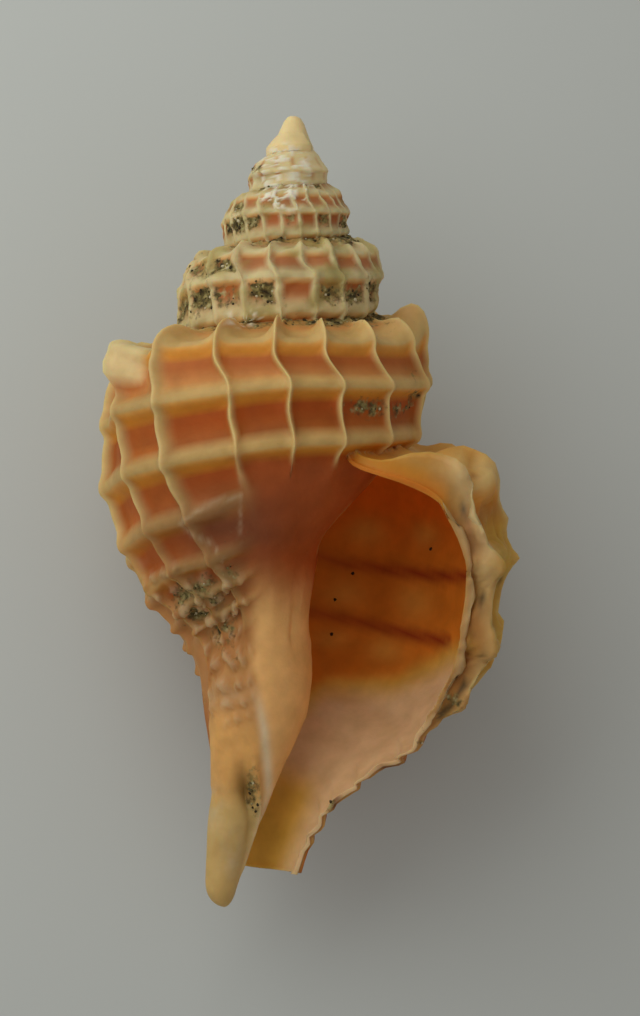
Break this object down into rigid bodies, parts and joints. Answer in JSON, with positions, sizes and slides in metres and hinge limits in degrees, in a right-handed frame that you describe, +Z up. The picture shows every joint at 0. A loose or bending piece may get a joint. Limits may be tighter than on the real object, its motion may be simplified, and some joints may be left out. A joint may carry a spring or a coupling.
{
  "type": "murex shell",
  "caption": "Spindle-shaped sea snail shell with a tall stepped spire, a lattice of ribs and cords, a frilled lip around a wide opening and a short bent canal.",
  "frame": {"origin": "centre of the shell's bounding box at table level", "axes": "+Z up, +Y toward the tip of the spire, +X toward the outer lip; the shell lies on its back with the opening up"},
  "size_m": [0.022, 0.0398, 0.0185],
  "materials": {
    "shell": "satin"
  },
  "bodies": {
    "root": {"shell": "shell"}
  },
  "joints": []
}
